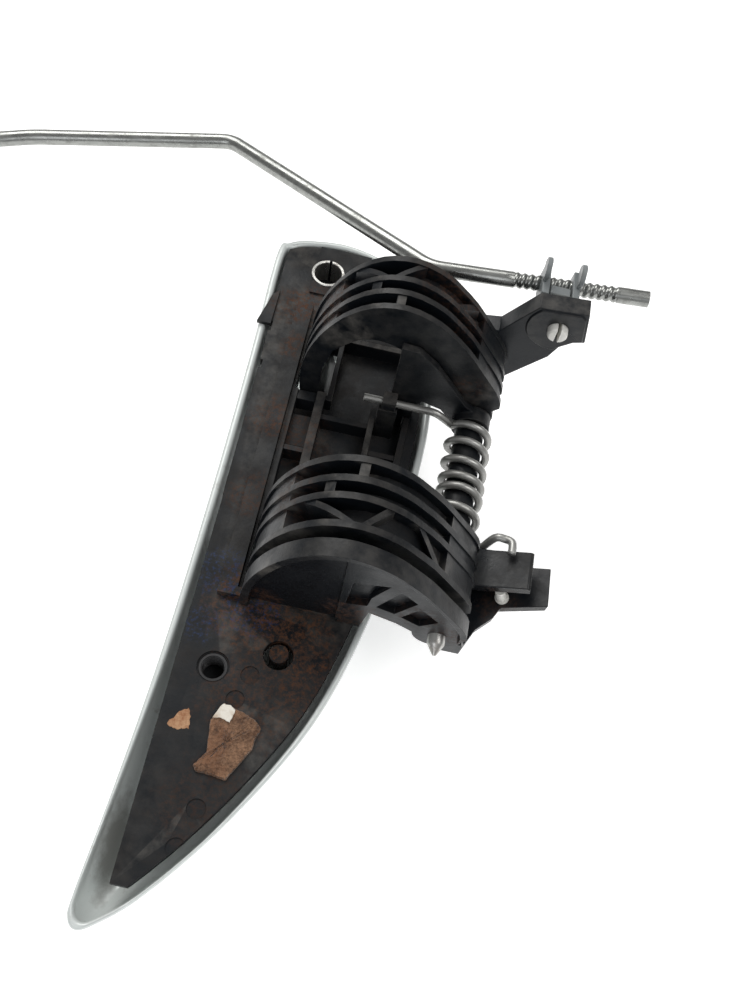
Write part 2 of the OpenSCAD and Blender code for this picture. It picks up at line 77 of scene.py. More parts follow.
def object_from(name, verts, faces, smooth=True):
    """Verts in millimetres."""
    mesh = bpy.data.meshes.new(name)
    mesh.from_pydata([tuple(c * MM for c in v) for v in verts], [], faces)
    bm = bmesh.new()
    bm.from_mesh(mesh)
    bmesh.ops.recalc_face_normals(bm, faces=bm.faces)
    bm.to_mesh(mesh)
    bm.free()
    for p in mesh.polygons:
        p.use_smooth = smooth
    return new_object(name, mesh)


def catmull(a, b, c, d, t):
    return 0.5 * (2 * b + (c - a) * t + (2 * a - 5 * b + 4 * c - d) * t * t
                  + (3 * b - a - 3 * c + d) * t ** 3)


def closed_curve(points, steps):
    pts = [Vector(p) for p in points]
    n = len(pts)
    return [catmull(pts[i - 1], pts[i], pts[(i + 1) % n], pts[(i + 2) % n], k / steps)
            for i in range(n) for k in range(steps)]


def open_curve(points, steps):
    pts = [Vector(p) for p in points]
    n = len(pts)
    out = [catmull(pts[max(0, i - 1)], pts[i], pts[i + 1], pts[min(n - 1, i + 2)], k / steps)
           for i in range(n - 1) for k in range(steps)]
    return out + [pts[-1]]


def round_corners(points, radius, steps=6):
    """A polyline with its corners rounded by quadratic arcs."""
    pts = [Vector(p) for p in points]
    out = [pts[0]]
    for a, b, c in zip(pts, pts[1:], pts[2:]):
        r = min(radius, (a - b).length * 0.45, (c - b).length * 0.45)
        s, e = b + (a - b).normalized() * r, b + (c - b).normalized() * r
        out += [(1 - t) ** 2 * s + 2 * t * (1 - t) * b + t * t * e
                for t in (k / steps for k in range(steps + 1))]
    return out + [pts[-1]]


def loft(name, rings, caps=True):
    n = len(rings[0])
    verts = [v for r in rings for v in r]
    faces = [(j * n + i, j * n + (i + 1) % n, (j + 1) * n + (i + 1) % n, (j + 1) * n + i)
             for j in range(len(rings) - 1) for i in range(n)]
    if caps:
        faces += [tuple(range(n - 1, -1, -1)), tuple((len(rings) - 1) * n + i for i in range(n))]
    return object_from(name, verts, faces)


def tube(name, path, radius, sides=14, closed_ends=True):
    """Sweeps a round section along a path without twist. radius is a number or a function of (index, angle)."""
    pts = [Vector(p) for p in path]
    tangents = []
    for i in range(len(pts)):
        a, b = pts[max(0, i - 1)], pts[min(len(pts) - 1, i + 1)]
        tangents.append((b - a).normalized())
    up = Vector((0, 0, 1)) if abs(tangents[0].z) < 0.9 else Vector((0, 1, 0))
    side = up.cross(tangents[0]).normalized()
    rings = []
    for i, (p, t) in enumerate(zip(pts, tangents)):
        side = (side - t * side.dot(t)).normalized()
        other = t.cross(side)
        ring = []
        for k in range(sides):
            angle = 2 * math.pi * k / sides
            r = radius(i, angle) if callable(radius) else radius
            ring.append(p + (side * math.cos(angle) + other * math.sin(angle)) * r)
        rings.append(ring)
    return loft(name, rings, closed_ends)


def joined(name, objects):
    bm = bmesh.new()
    for o in objects:
        bm.from_mesh(o.data)
        bpy.data.objects.remove(o)
    mesh = bpy.data.meshes.new(name)
    bm.to_mesh(mesh)
    bm.free()
    for p in mesh.polygons:
        p.use_smooth = True
    return new_object(name, mesh)


def bevelled(obj, width, segments=2, angle=30):
    mod = obj.modifiers.new("edge", "BEVEL")
    mod.width = width * MM
    mod.segments = segments
    mod.limit_method = "ANGLE"
    mod.angle_limit = math.radians(angle)
    mod.harden_normals = False
    return obj


def smooth_group(angle):
    """Geometry nodes that weld a mesh's split corners and shade it smooth below an edge angle."""
    group = bpy.data.node_groups.new("weld_and_shade", "GeometryNodeTree")
    group.interface.new_socket("Geometry", in_out="INPUT", socket_type="NodeSocketGeometry")
    group.interface.new_socket("Geometry", in_out="OUTPUT", socket_type="NodeSocketGeometry")
    n, link = group.nodes, group.links.new
    start, end = n.new("NodeGroupInput"), n.new("NodeGroupOutput")
    weld = n.new("GeometryNodeMergeByDistance")
    weld.inputs["Distance"].default_value = 2e-6
    drop = n.new("GeometryNodeRemoveAttribute")
    drop.inputs["Name"].default_value = "custom_normal"
    edge_angle = n.new("GeometryNodeInputMeshEdgeAngle")
    less = n.new("FunctionNodeCompare")
    less.operation = "LESS_THAN"
    less.inputs[1].default_value = math.radians(angle)
    edges = n.new("GeometryNodeSetShadeSmooth")
    edges.domain = "EDGE"
    faces = n.new("GeometryNodeSetShadeSmooth")
    faces.domain = "FACE"
    faces.inputs["Shade Smooth"].default_value = True
    link(start.outputs[0], weld.inputs["Geometry"])
    link(weld.outputs[0], drop.inputs["Geometry"])
    link(drop.outputs[0], edges.inputs["Geometry"])
    link(edge_angle.outputs["Unsigned Angle"], less.inputs[0])
    link(less.outputs[0], edges.inputs["Shade Smooth"])
    link(edges.outputs[0], faces.inputs["Geometry"])
    link(faces.outputs[0], end.inputs[0])
    return group


shade_smooth = smooth_group(32)


def soften(obj, width=0.3, segments=2):
    """Rounds a carried-over node's edges."""
    weld = obj.modifiers.new("weld", "NODES")
    weld.node_group = shade_smooth
    if width:
        bevelled(obj, width, segments, 34)
    return obj


# ------------------------------------------------------------------- materials

class Paint:
    """Small helper round one Principled material's nodes."""

    def __init__(self, name):
        self.mat = bpy.data.materials.new(name)
        self.mat.use_nodes = True
        self.tree = self.mat.node_tree
        self.bsdf = self.tree.nodes["Principled BSDF"]
        self.coords = self.tree.nodes.new("ShaderNodeTexCoord").outputs["Object"]

    def node(self, kind, **inputs):
        n = self.tree.nodes.new(kind)
        for key, value in inputs.items():
            n.inputs[key.replace("_", " ")].default_value = value
        return n

    def link(self, a, b):
        self.tree.links.new(a, b)

    def noise(self, scale, detail=4.0, rough=0.6, stretch=None):
        n = self.node("ShaderNodeTexNoise", Scale=scale, Detail=detail, Roughness=rough)
        self.link(self.stretched(stretch), n.inputs["Vector"])
        return n.outputs["Fac"]

    def stretched(self, stretch):
        if not stretch:
            return self.coords
        m = self.node("ShaderNodeMapping", Scale=stretch)
        self.link(self.coords, m.inputs["Vector"])
        return m.outputs["Vector"]

    def ramp(self, fac, low, high, a=0.0, b=1.0):
        n = self.node("ShaderNodeMapRange", From_Min=low, From_Max=high, To_Min=a, To_Max=b)
        self.link(fac, n.inputs["Value"])
        return n.outputs["Result"]

    def math(self, op, a, b):
        n = self.tree.nodes.new("ShaderNodeMath")
        n.operation = op
        for socket, value in zip(n.inputs, (a, b)):
            if isinstance(value, (int, float)):
                socket.default_value = value
            else:
                self.link(value, socket)
        return n.outputs[0]

    def mix(self, fac, a, b):
        n = self.tree.nodes.new("ShaderNodeMix")
        n.data_type = "RGBA"
        ins = [n.inputs[0], n.inputs[6], n.inputs[7]]
        for socket, value in zip(ins, (fac, a, b)):
            if isinstance(value, (int, float)):
                socket.default_value = value
            elif isinstance(value, tuple):
                socket.default_value = (*value, 1.0)
            else:
                self.link(value, socket)
        return n.outputs[2]

    def blob(self, centre, radius, edge=0.4, squash=(1, 1, 1)):
        """1 inside a soft ragged ball round a point given in millimetres, 0 outside."""
        m = self.node("ShaderNodeMapping", Location=tuple(-c * s / radius for c, s in zip(centre, squash)),
                      Scale=tuple(1000 * s / radius for s in squash))
        self.link(self.coords, m.inputs["Vector"])
        length = self.tree.nodes.new("ShaderNodeVectorMath")
        length.operation = "LENGTH"
        self.link(m.outputs["Vector"], length.inputs[0])
        ragged = self.math("ADD", length.outputs["Value"], self.ramp(self.noise(420, 5), 0, 1, -0.45, 0.45))
        return self.ramp(ragged, 1.0, 1.0 - edge)

    def facing_up(self):
        geometry = self.tree.nodes.new("ShaderNodeNewGeometry")
        n = self.tree.nodes.new("ShaderNodeSeparateXYZ")
        self.link(geometry.outputs["Normal"], n.inputs[0])
        return n.outputs["Z"]

    def worn_edges(self, low=0.52, high=0.6):
        geometry = self.tree.nodes.new("ShaderNodeNewGeometry")
        return self.ramp(geometry.outputs["Pointiness"], low, high)

    def bump(self, height, strength, distance):
        n = self.node("ShaderNodeBump", Strength=strength, Distance=distance)
        self.link(height, n.inputs["Height"])
        self.link(n.outputs["Normal"], self.bsdf.inputs["Normal"])

    def set(self, **values):
        for key, value in values.items():
            socket = self.bsdf.inputs[key.replace("_", " ")]
            if isinstance(value, (int, float)):
                socket.default_value = value
            elif isinstance(value, tuple):
                socket.default_value = (*value, 1.0)
            else:
                self.link(value, socket)
        return self


def black_plastic(name, base=(0.0032, 0.0044, 0.006), dust=0.3, rust_spots=(), gloss=0.34, wear=0.5,
                  blue_spots=(), dust_colour=(0.06, 0.045, 0.033)):
    """Moulded black plastic: faint mottling, brown dust on faces that look up, worn pale edges."""
    m = Paint(name)
    mottled = m.mix(m.noise(90, 6), base, tuple(c * 1.9 for c in base))
    dusty_mask = m.math("MULTIPLY", m.ramp(m.noise(130, 8, 0.7), 0.42, 0.75), m.ramp(m.facing_up(), 0.1, 0.9))
    fine = m.ramp(m.noise(900, 3), 0.4, 0.75)
    dusty_mask = m.math("MULTIPLY", dusty_mask, m.math("ADD", m.math("MULTIPLY", fine, 0.6), 0.5))
    colour = m.mix(m.math("MULTIPLY", dusty_mask, dust), mottled, dust_colour)
    scratches = m.ramp(m.noise(260, 2, 0.5, (1, 9, 1)), 0.66, 0.78)
    edge = m.math("MULTIPLY", m.worn_edges(), m.ramp(m.noise(240, 5), 0.38, 0.62))
    colour = m.mix(m.math("MULTIPLY", edge, wear), colour, (0.115, 0.108, 0.098))
    colour = m.mix(m.math("MULTIPLY", scratches, 0.12 * wear), colour, (0.13, 0.125, 0.115))
    rough = m.ramp(m.noise(160, 6), 0.3, 0.7, gloss - 0.08, gloss + 0.12)
    rough = m.math("ADD", rough, m.math("MULTIPLY", dusty_mask, 0.35))
    for centre, radius, strength in rust_spots:
        spot = m.math("MULTIPLY", m.blob(centre, radius), m.ramp(m.noise(800, 8, 0.8), 0.46, 0.66))
        colour = m.mix(m.math("MULTIPLY", spot, strength), colour, (0.15, 0.062, 0.028))
        rough = m.math("ADD", rough, m.math("MULTIPLY", spot, 0.3))
    for centre, radius, strength in blue_spots:
        spot = m.math("MULTIPLY", m.blob(centre, radius), m.ramp(m.noise(1000, 6, 0.75), 0.5, 0.66))
        colour = m.mix(m.math("MULTIPLY", spot, strength), colour, (0.02, 0.045, 0.13))
    m.set(Base_Color=colour, Roughness=rough, Specular_IOR_Level=0.26)
    m.bump(m.math("ADD", m.noise(1500, 3), m.math("MULTIPLY", m.noise(220, 4), 1.5)), 0.18, 0.0002)
    return m.mat


def silver_paint(name):
    m = Paint(name)
    flake = m.noise(6000, 2)
    colour = m.mix(m.noise(40, 3), (0.62, 0.665, 0.65), (0.7, 0.735, 0.72))
    colour = m.mix(m.ramp(flake, 0.55, 0.75, 0, 0.25), colour, (0.82, 0.86, 0.87))
    grime = m.math("MULTIPLY", m.ramp(m.noise(210, 8, 0.75), 0.58, 0.7), 0.4)
    colour = m.mix(grime, colour, (0.2, 0.16, 0.12))
    # Dark brownish patch at the groove near the tip: partly dirt, partly painted shade of the recess
    groove_dirt_and_shade = m.math("MULTIPLY", m.blob((-12.4, -150, -5), 9, 0.5, (3.0, 0.7, 0.9)), 0.6)
    colour = m.mix(groove_dirt_and_shade, colour, (0.12, 0.1, 0.08))
    m.set(Base_Color=colour, Metallic=0.12, Roughness=m.ramp(m.noise(120, 4), 0.3, 0.7, 0.3, 0.42),
          Coat_Weight=0.35, Coat_Roughness=0.12)
    m.bump(m.noise(700, 2), 0.04, 0.0002)
    return m.mat


def metal(name, light, dark, rough, stretch=None, grime=0.35, grime_colour=(0.06, 0.05, 0.04), metallic=0.95):
    m = Paint(name)
    colour = m.mix(m.noise(180, 6, 0.6, stretch), dark, light)
    stain = m.ramp(m.noise(320, 8, 0.75), 0.52, 0.7)
    colour = m.mix(m.math("MULTIPLY", stain, grime), colour, grime_colour)
    roughness = m.math("ADD", m.ramp(m.noise(260, 5), 0.3, 0.7, rough - 0.07, rough + 0.1),
                       m.math("MULTIPLY", stain, grime * 0.5))
    m.set(Base_Color=colour, Metallic=metallic, Roughness=roughness)
    m.bump(m.noise(900, 4, 0.6, stretch), 0.12, 0.0001)
    return m.mat


def plain_plastic(name, base, other, rough, dirt=0.15, bump=0.1):
    m = Paint(name)
    colour = m.mix(m.noise(200, 5), base, other)
    stain = m.ramp(m.noise(380, 8, 0.75), 0.52, 0.68)
    colour = m.mix(m.math("MULTIPLY", stain, dirt), colour, (0.12, 0.08, 0.05))
    m.set(Base_Color=colour, Roughness=m.ramp(m.noise(300, 4), 0.3, 0.7, rough - 0.06, rough + 0.1),
          Specular_IOR_Level=0.45)
    m.bump(m.noise(1100, 3), bump, 0.0002)
    return m.mat


def foam(name):
    m = Paint(name)
    cells = m.node("ShaderNodeTexVoronoi", Scale=1500.0)
    m.link(m.coords, cells.inputs["Vector"])
    colour = m.mix(m.ramp(m.noise(330, 8, 0.8), 0.4, 0.65), (0.07, 0.032, 0.016), (0.36, 0.2, 0.115))
    colour = m.mix(m.ramp(m.noise(150, 6), 0.5, 0.62, 0, 0.6), colour, (0.24, 0.11, 0.055))
    m.set(Base_Color=colour, Roughness=0.95, Sheen_Weight=0.2)
    m.bump(m.math("ADD", cells.outputs["Distance"], m.noise(500, 8)), 0.9, 0.0006)
    return m.mat


def paper(name):
    m = Paint(name)
    colour = m.mix(m.ramp(m.noise(260, 6), 0.42, 0.62), (0.8, 0.76, 0.68), (0.56, 0.46, 0.36))
    m.set(Base_Color=colour, Roughness=0.9)
    m.bump(m.noise(600, 6), 0.4, 0.0003)
    return m.mat


def adhesive(name):
    m = Paint(name)
    colour = m.mix(m.ramp(m.noise(420, 8, 0.8), 0.4, 0.6), (0.3, 0.13, 0.06), (0.5, 0.3, 0.17))
    m.set(Base_Color=colour, Roughness=0.85)
    m.bump(m.noise(900, 8), 0.6, 0.0004)
    return m.mat


plate_mat = black_plastic(
    "plate_black", dust=0.34, gloss=0.44, wear=0.45,
    rust_spots=(
        ((-1, -11.5, 0.6), 9, 0.5), ((-7.4, -13, 0), 7, 0.35), ((-3.5, -26, 1.5), 5, 0.6), ((-4, -48, 1.5), 7, 0.5),
        ((-4, -70, 1.5), 7, 0.45), ((2, -97, 0.2), 11, 0.75), ((12, -98, 0.2), 9, 0.6), ((16, -103, 0.2), 9, 0.5),
        ((8, -116, 0), 14, 0.4), ((20, -112, 0), 9, 0.35), ((4, -140, 0), 12, 0.22)),
    blue_spots=(((-6, -90, 0.4), 7, 0.85), ((3, -97, 0.4), 8, 0.85), ((-7, -103, 0), 5, 0.7)))
tray_mat = black_plastic(
    "tray_worn", base=(0.006, 0.007, 0.0085), dust=0.5, gloss=0.46, wear=0.75,
    rust_spots=(((4, -50, -4), 9, 0.35), ((10, -64, -4), 8, 0.3), ((2, -30, -3), 6, 0.45)))
arm_mat = black_plastic(
    "arm_black", dust=0.3, gloss=0.36, wear=0.55,
    rust_spots=(((34, -26, 26), 9, 0.4), ((28, -24, 34), 7, 0.28), ((6, -28, 22), 8, 0.35), ((40, -33, 14), 7, 0.3),
                ((9, -80, 26), 8, 0.25)))
bracket_mat = black_plastic(
    "bracket_black", dust=0.22, gloss=0.36, wear=0.6,
    rust_spots=(((24, -96, 6), 8, 0.45), ((38, -96, 12), 7, 0.2), ((4, -96, 3), 6, 0.5), ((46, -97, 6), 5, 0.3)))
lever_mat = black_plastic("lever_black", base=(0.004, 0.0055, 0.0075), dust=0.2, gloss=0.34, wear=0.8)
lug_mat = black_plastic("lug_black", dust=0.16, gloss=0.28, wear=0.4,
                        rust_spots=(((56, -84, 2), 6, 0.25),))
paint_mat = silver_paint("cover_silver")
rod_mat = metal("rod_zinc", (0.46, 0.47, 0.45), (0.16, 0.165, 0.16), 0.27, (1, 6, 6), 0.4)
spring_mat = metal("spring_grey", (0.47, 0.47, 0.45), (0.27, 0.27, 0.26), 0.38, None, 0.25, (0.12, 0.1, 0.08), 0.75)
steel_mat = metal("sleeve_steel", (0.66, 0.66, 0.64), (0.36, 0.35, 0.33), 0.3, None, 0.5, (0.14, 0.07, 0.035))
dark_steel_mat = metal("insert_dark", (0.06, 0.06, 0.062), (0.02, 0.02, 0.022), 0.4, None, 0.3,
                       (0.03, 0.02, 0.015), 0.5)
nylon_mat = plain_plastic("stud_nylon", (0.82, 0.81, 0.77), (0.7, 0.69, 0.64), 0.38, 0.12)
bush_mat = plain_plastic("bush_nylon", (0.6, 0.58, 0.52), (0.5, 0.48, 0.42), 0.4, 0.3)
clip_mat = plain_plastic("clip_grey", (0.25, 0.27, 0.275), (0.16, 0.175, 0.18), 0.34, 0.2)
tube_mat = black_plastic("tube_black", dust=0.12, gloss=0.3, wear=0.1)
foam_mat = foam("foam_brown")
paper_mat = paper("paper_cream")
glue_mat = adhesive("glue_orange")


def dress(obj, material):
    obj.data.materials.clear()
    obj.data.materials.append(material)
    return obj


def dress_node(name, material, width=0.3, segments=2):
    node = nodes[name]
    for i in range(len(node.data.materials)):
        node.material_slots[i].material = material
    if not node.data.materials:
        node.data.materials.append(material)
    soften(node, width, segments)


def finish_piece(obj, material, body, slot, *replaced):
    dress(obj, material)
    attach(obj, body)
    if replaced:
        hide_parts(*replaced)
    return obj


for name, material, width in (
        ("base_plate", plate_mat, 0.3), ("base_tray", tray_mat, 0.25), ("upper_bracket", bracket_mat, 0.35),
        ("lower_bracket", bracket_mat, 0.3), ("closing_stop", lug_mat, 0.4), ("spring_tube", tube_mat, 0.2),
        ("mounting_sleeve", steel_mat, 0.15), ("locating_peg", plate_mat, 0.4), ("hinge_pin", steel_mat, 0.15),
        ("spring_clip", tray_mat, 0.2), ("upper_arm", arm_mat, 0.25), ("lower_arm", arm_mat, 0.25),
        ("rod_lever", lever_mat, 0.5), ("spring_lug", lug_mat, 0.5), ("arm_bushes", bush_mat, 0.1),
        ("flap_screws", rod_mat, 0.3), ("stop_buffer", nylon_mat, 0.2), ("screw_insert", dark_steel_mat, 0.1)):
    dress_node(name, material, width)

# ----------------------------------------------------------------- painted cover

LEAF = [
    (-14.4, -166.6), (-11.3, -165.2), (-4.4, -159.2), (6.2, -145.8), (16.5, -129.2), (23.1, -114.7),
    (28.2, -96), (31.6, -76), (33.6, -56), (34, -38), (31.8, -18), (26.5, -3), (17.5, 8), (5, 12.4),
    (-6, 11.6), (-12.6, 9), (-15, 4), (-14.1, -30), (-13.6, -70), (-13.9, -110), (-15.2, -140),
    (-16.6, -160), (-16.4, -164.8)]
leaf = closed_curve(LEAF, 10)
cover_low, cover_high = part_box("outer_cover")
COVER_TOP = cover_high.z / MM
COVER_DEPTH = (cover_high.z - cover_low.z) / MM


def leaf_axis(p):
    t = max(0, min(86, -p.y - 60)) / 86
    return Vector((10 - 15 * t * t, min(-14, max(-146, p.y))))


def leaf_ring(share, z):
    return [(*(p + (leaf_axis(p) - p) * share), z) for p in leaf]


def cover_profile():
    """Share of the way in and height, up the outer skin, over the rounded rim and down inside."""
    outside = open_curve([(0.46, 0), (0.42, 0.02), (0.25, 1.4), (0.11, 4.2), (0.03, 8), (0.002, COVER_DEPTH - 1.2)], 4)
    rim = [(0.004 + 0.038 * (1 - math.cos(a)), COVER_DEPTH - 0.9 + 0.88 * math.sin(a))
           for a in (math.pi * k / 8 for k in range(9))]
    inside = open_curve([(0.085, COVER_DEPTH - 1.4), (0.09, COVER_DEPTH - 4), (0.22, 5.2), (0.48, 2.2)], 4)
    return [Vector(p) for p in outside] + [Vector(p) for p in rim] + [Vector(p) for p in inside]


cover = loft("cover_shell", [leaf_ring(p.x, p.y + COVER_TOP - COVER_DEPTH) for p in cover_profile()])
TRAY = [(-1.8, -93.6), (20.5, -93.6), (26, -78), (28.8, -58), (29.4, -38), (27.8, -18.2), (-1.8, -18.2)]
cutter = object_from(
    "cover_opening",
    [(x, y, z) for z in (-40, 20) for x, y in TRAY],
    [tuple(range(6, -1, -1)), tuple(range(7, 14))] + [(i, (i + 1) % 7, 7 + (i + 1) % 7, 7 + i) for i in range(7)])


def applied_boolean(obj, tool):
    mod = obj.modifiers.new("cut", "BOOLEAN")
    mod.operation = "DIFFERENCE"
    mod.object = tool
    mod.solver = "EXACT"
    bpy.context.view_layer.update()
    evaluated = obj.evaluated_get(bpy.context.evaluated_depsgraph_get())
    mesh = bpy.data.meshes.new_from_object(evaluated)
    obj.modifiers.clear()
    obj.data = mesh
    bpy.data.objects.remove(tool)
    return obj


applied_boolean(cover, cutter)
soften(cover, 0)
finish_piece(cover, paint_mat, "housing", "silver_paint", "outer_cover")

# --------------------------------------------------------------------- flap grip

PADDLE = [(-5, -99), (7, -102.5), (19, -97), (24.6, -76), (25.8, -52), (24.4, -28), (17, -12), (5, -8.4),
          (-4.6, -12), (-6.4, -34), (-6, -76)]
GRIP_Z, GRIP_SLOPE, FOOT_X = -22, 0.16, 6.4
paddle = closed_curve(PADDLE, 8)


def paddle_ring(inset, z):
    out = []
    for p in paddle:
        v = Vector((9, min(-22, max(-86, p.y)))) - p
        q = p + v * min(1, inset / v.length)
        out.append((q.x, q.y, z + GRIP_SLOPE * (q.x - FOOT_X)))
    return out


grip_profile = [
    (14, -5.95), (11, -5.9), (7, -5.75), (4.4, -5.35), (2.4, -4.6), (1, -3.5), (0.2, -2.2), (0, -1.3),
    (0.5, -0.45), (1.5, 0), (6, 0.02), (13, 0.04)]
grip = loft("grip_paddle", [paddle_ring(d, GRIP_Z + z) for d, z in grip_profile])
soften(grip, 0)
finish_piece(grip, paint_mat, "flap", "silver_paint", "flap_grip")

# ------------------------------------------------------------------------ spring

pin_low, pin_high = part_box("hinge_pin")
PIN_X = (pin_low.x + pin_high.x) / 2 / MM
PIN_Z = (pin_low.z + pin_high.z) / 2 / MM
WIRE_R = 0.95
COIL_R = 4.85


def coil_path():
    """Fixed leg and about seven turns that bunch and spread as on the real spring; build_spring adds the leg to the
    lug.
    """
    crests = [-43.2, -47.8, -53.1, -57.4, -60.3, -65.5, -70.7]
    path = [(16.6, -41.2, 8.0), (20, -41.2, 8.0), (26, -41.25, 8.0), (30.5, -41.4, 8.2), (34.5, -42.1, 8.9)]
    turns = len(crests) - 1
    steps = 26
    for k in range(-5, turns * steps + 10):
        s = k / steps
        i = min(turns - 1, max(0, int(math.floor(s))))
        y = crests[i] + (crests[i + 1] - crests[i]) * (s - i)
        a = math.radians(90) - 2 * math.pi * s
        path.append((PIN_X + COIL_R * math.cos(a), y, PIN_Z + COIL_R * math.sin(a)))
    return path


def build_spring():
    coil = coil_path()
    end = coil[-1]
    legs = [(end[0] + 2.6, end[1] - 0.1, end[2] + 1.6), (52.6, -71.5, 8.5), (55.0, -71.6, 9.2),
            (56.2, -72.2, 9.7), (56.6, -73.2, 9.9), (56.6, -75.4, 9.9)]
    path = open_curve(coil[:5] + coil[5:6], 4) + [Vector(p) for p in coil[6:]] + open_curve(legs, 4)
    return tube("spring_wire", path, WIRE_R, 12)


spring = build_spring()
dress(spring, spring_mat)
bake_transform(spring)
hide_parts("torsion_spring")

# --------------------------------------------------------------------------- rod

stud_low, stud_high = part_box("clip_stud")
STUD_X = (stud_low.x + stud_high.x) / 2 / MM
STUD_Z = (stud_low.z + stud_high.z) / 2 / MM
ROD_R = 2.0
ROD = [(79, -8, STUD_Z + 2.3), (25.7, -8, STUD_Z - 3.6), (-33.9, 30.6, 9.4), (-85, 17.8, 7.6), (-112, 7.4, 6.4)]
HOOK_END = -5.6
COLLAR_Z = (3.4, 8.8)
COLLAR_R = 2.48


def rod_path():
    corner = [ROD[0], ROD[1], ROD[2], ROD[3], ROD[4], (ROD[4][0], ROD[4][1], HOOK_END)]
    return round_corners(corner, 3, 8)


def resampled(path, step):
    out = [path[0]]
    for a, b in zip(path, path[1:]):
        n = max(1, int((b - a).length / step))
        out += [a + (b - a) * (k / n) for k in range(1, n + 1)]
    return out


THREAD = (46.3, 71.3)
PITCH = 1.75


def build_rod():
    start = Vector(ROD[0])
    along = (Vector(ROD[1]) - start).normalized()
    length = (start.x - THREAD[0]) / -along.x
    thread = [start + along * (length * k / 280) for k in range(281)]
    rest = resampled([thread[-1]] + [p for p in rod_path() if p.x < THREAD[0] - 0.5], 2.0)
    path = thread + rest[1:]

    def radius(i, angle):
        p = path[min(i, len(path) - 1)]
        if i == 0:
            return ROD_R - 0.35
        if i <= 280 and THREAD[0] < p.x < THREAD[1]:
            phase = (p.x / PITCH - angle / (2 * math.pi)) % 1.0
            return ROD_R - 0.42 + 0.4 * (0.5 - 0.5 * math.cos(2 * math.pi * phase)) ** 0.7
        return ROD_R - 0.02
    shank = tube("rod_shank", path, radius, 20)
    collar = tube("rod_collar", [(ROD[4][0], ROD[4][1], z) for z in COLLAR_Z], COLLAR_R, 24)
    return joined("rod_zinc_plated", [shank, collar])


rod = build_rod()
soften(rod, 0)
finish_piece(rod, rod_mat, "rod", "zinc_steel", "lock_rod")

# ---------------------------------------------------------------------- rod clip

CLIP_X = (52.4, 62.2)


def ear(name, x0, thickness):
    """Leaf-shaped ear that grips the rod's thread."""
    outline = [(-2.0, 0), (-2.5, 1.2), (-3.1, 2.4), (-2.6, 3.7), (-1.2, 4.9), (0.2, 5.4), (1.6, 4.8), (2.6, 3.4),
               (2.9, 2.0), (2.2, 1.0), (1.9, 0)]
    ring = closed_curve(outline, 3)
    base = Vector((0, -8, STUD_Z + 2.6))
    verts = [(x0 + side * thickness, base.y + u * 0.95, base.z + v) for side in (0, 1) for u, v in ring]
    n = len(ring)
    faces = [tuple(range(n)), tuple(range(2 * n - 1, n - 1, -1))]
    faces += [(i, (i + 1) % n, n + (i + 1) % n, n + i) for i in range(n)]
    return object_from(name, verts, faces)


def box_part(name, low, high, taper=0.0):
    """Block whose top is drawn in by taper."""
    (x0, y0, z0), (x1, y1, z1) = low, high
    verts = [(x0, y0, z0), (x1, y0, z0), (x1, y1, z0), (x0, y1, z0),
             (x0 + taper, y0 + taper, z1), (x1 - taper, y0 + taper, z1), (x1 - taper, y1 - taper, z1),
             (x0 + taper, y1 - taper, z1)]
    faces = [(3, 2, 1, 0), (4, 5, 6, 7), (0, 1, 5, 4), (1, 2, 6, 5), (2, 3, 7, 6), (3, 0, 4, 7)]
    return object_from(name, verts, faces)


clip_body = joined("rod_clip_body", [
    box_part("jaw_left", (CLIP_X[0], -13.9, STUD_Z - 3.1), (CLIP_X[0] + 2.4, -4.7, STUD_Z + 2.9), 0.3),
    box_part("jaw_right", (CLIP_X[1] - 2.4, -13.9, STUD_Z - 3.1), (CLIP_X[1], -4.7, STUD_Z + 2.9), 0.3),
    box_part("saddle", (CLIP_X[0] + 2.0, -13.6, STUD_Z - 3.1), (CLIP_X[1] - 2.0, -5.4, STUD_Z - 0.2), 0.2),
    box_part("bridge", (CLIP_X[0] + 2.2, -13.2, STUD_Z + 0.9), (CLIP_X[1] - 2.2, -10.2, STUD_Z + 2.6), 0.3),
    ear("ear_left", CLIP_X[0] + 0.1, 1.2),
    ear("ear_right", CLIP_X[1] - 1.3, 1.2)])
soften(clip_body, 0.25)
finish_piece(clip_body, clip_mat, "rod", "grey_plastic", "rod_clip")

# -------------------------------------------------------------------- clip stud

STUD_R = 2.45
STUD_FRONT = stud_low.y / MM


def half_prong(name, side):
    """One D-shaped half of the split stud, along Y, with a rounded nose."""
    rings = []
    sections = [(-11.9, 1.0), (STUD_FRONT + 1.0, 1.0), (STUD_FRONT + 0.45, 0.95), (STUD_FRONT + 0.12, 0.8),
                (STUD_FRONT + 0.02, 0.55)]
    for y, scale in sections:
        ring = []
        for k in range(13):
            a = -math.pi / 2 + math.pi * k / 12
            x = 0.45 + max(0, STUD_R * math.cos(a) - 0.45) * scale
            ring.append((STUD_X + side * x, y, STUD_Z + STUD_R * 0.97 * math.sin(a) * scale))
        rings.append(ring)
    return loft(name, rings)


stud_flange = tube("stud_flange", [(STUD_X, -16.2, STUD_Z), (STUD_X, -16.0, STUD_Z), (STUD_X, -14.4, STUD_Z),
                                   (STUD_X, -14.2, STUD_Z)],
                   lambda i, a: 3.6 if i in (0, 3) else 3.95, 32)
stud = joined("split_stud", [half_prong("prong_a", 1), half_prong("prong_b", -1), stud_flange])
soften(stud, 0.12)
finish_piece(stud, nylon_mat, "rod", "pale_nylon", "clip_stud")

# ------------------------------------------------------------ foam pad and paper

PAD = [(0.3, -123.1), (2.2, -119.2), (5.7, -120), (9.2, -121.2), (10.8, -122.8), (10.0, -127.4), (6.3, -134.6),
       (3.9, -134.2), (0.0, -134.0), (-0.8, -132.8), (1.2, -129.7)]
pad_low, pad_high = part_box("foam_pad")


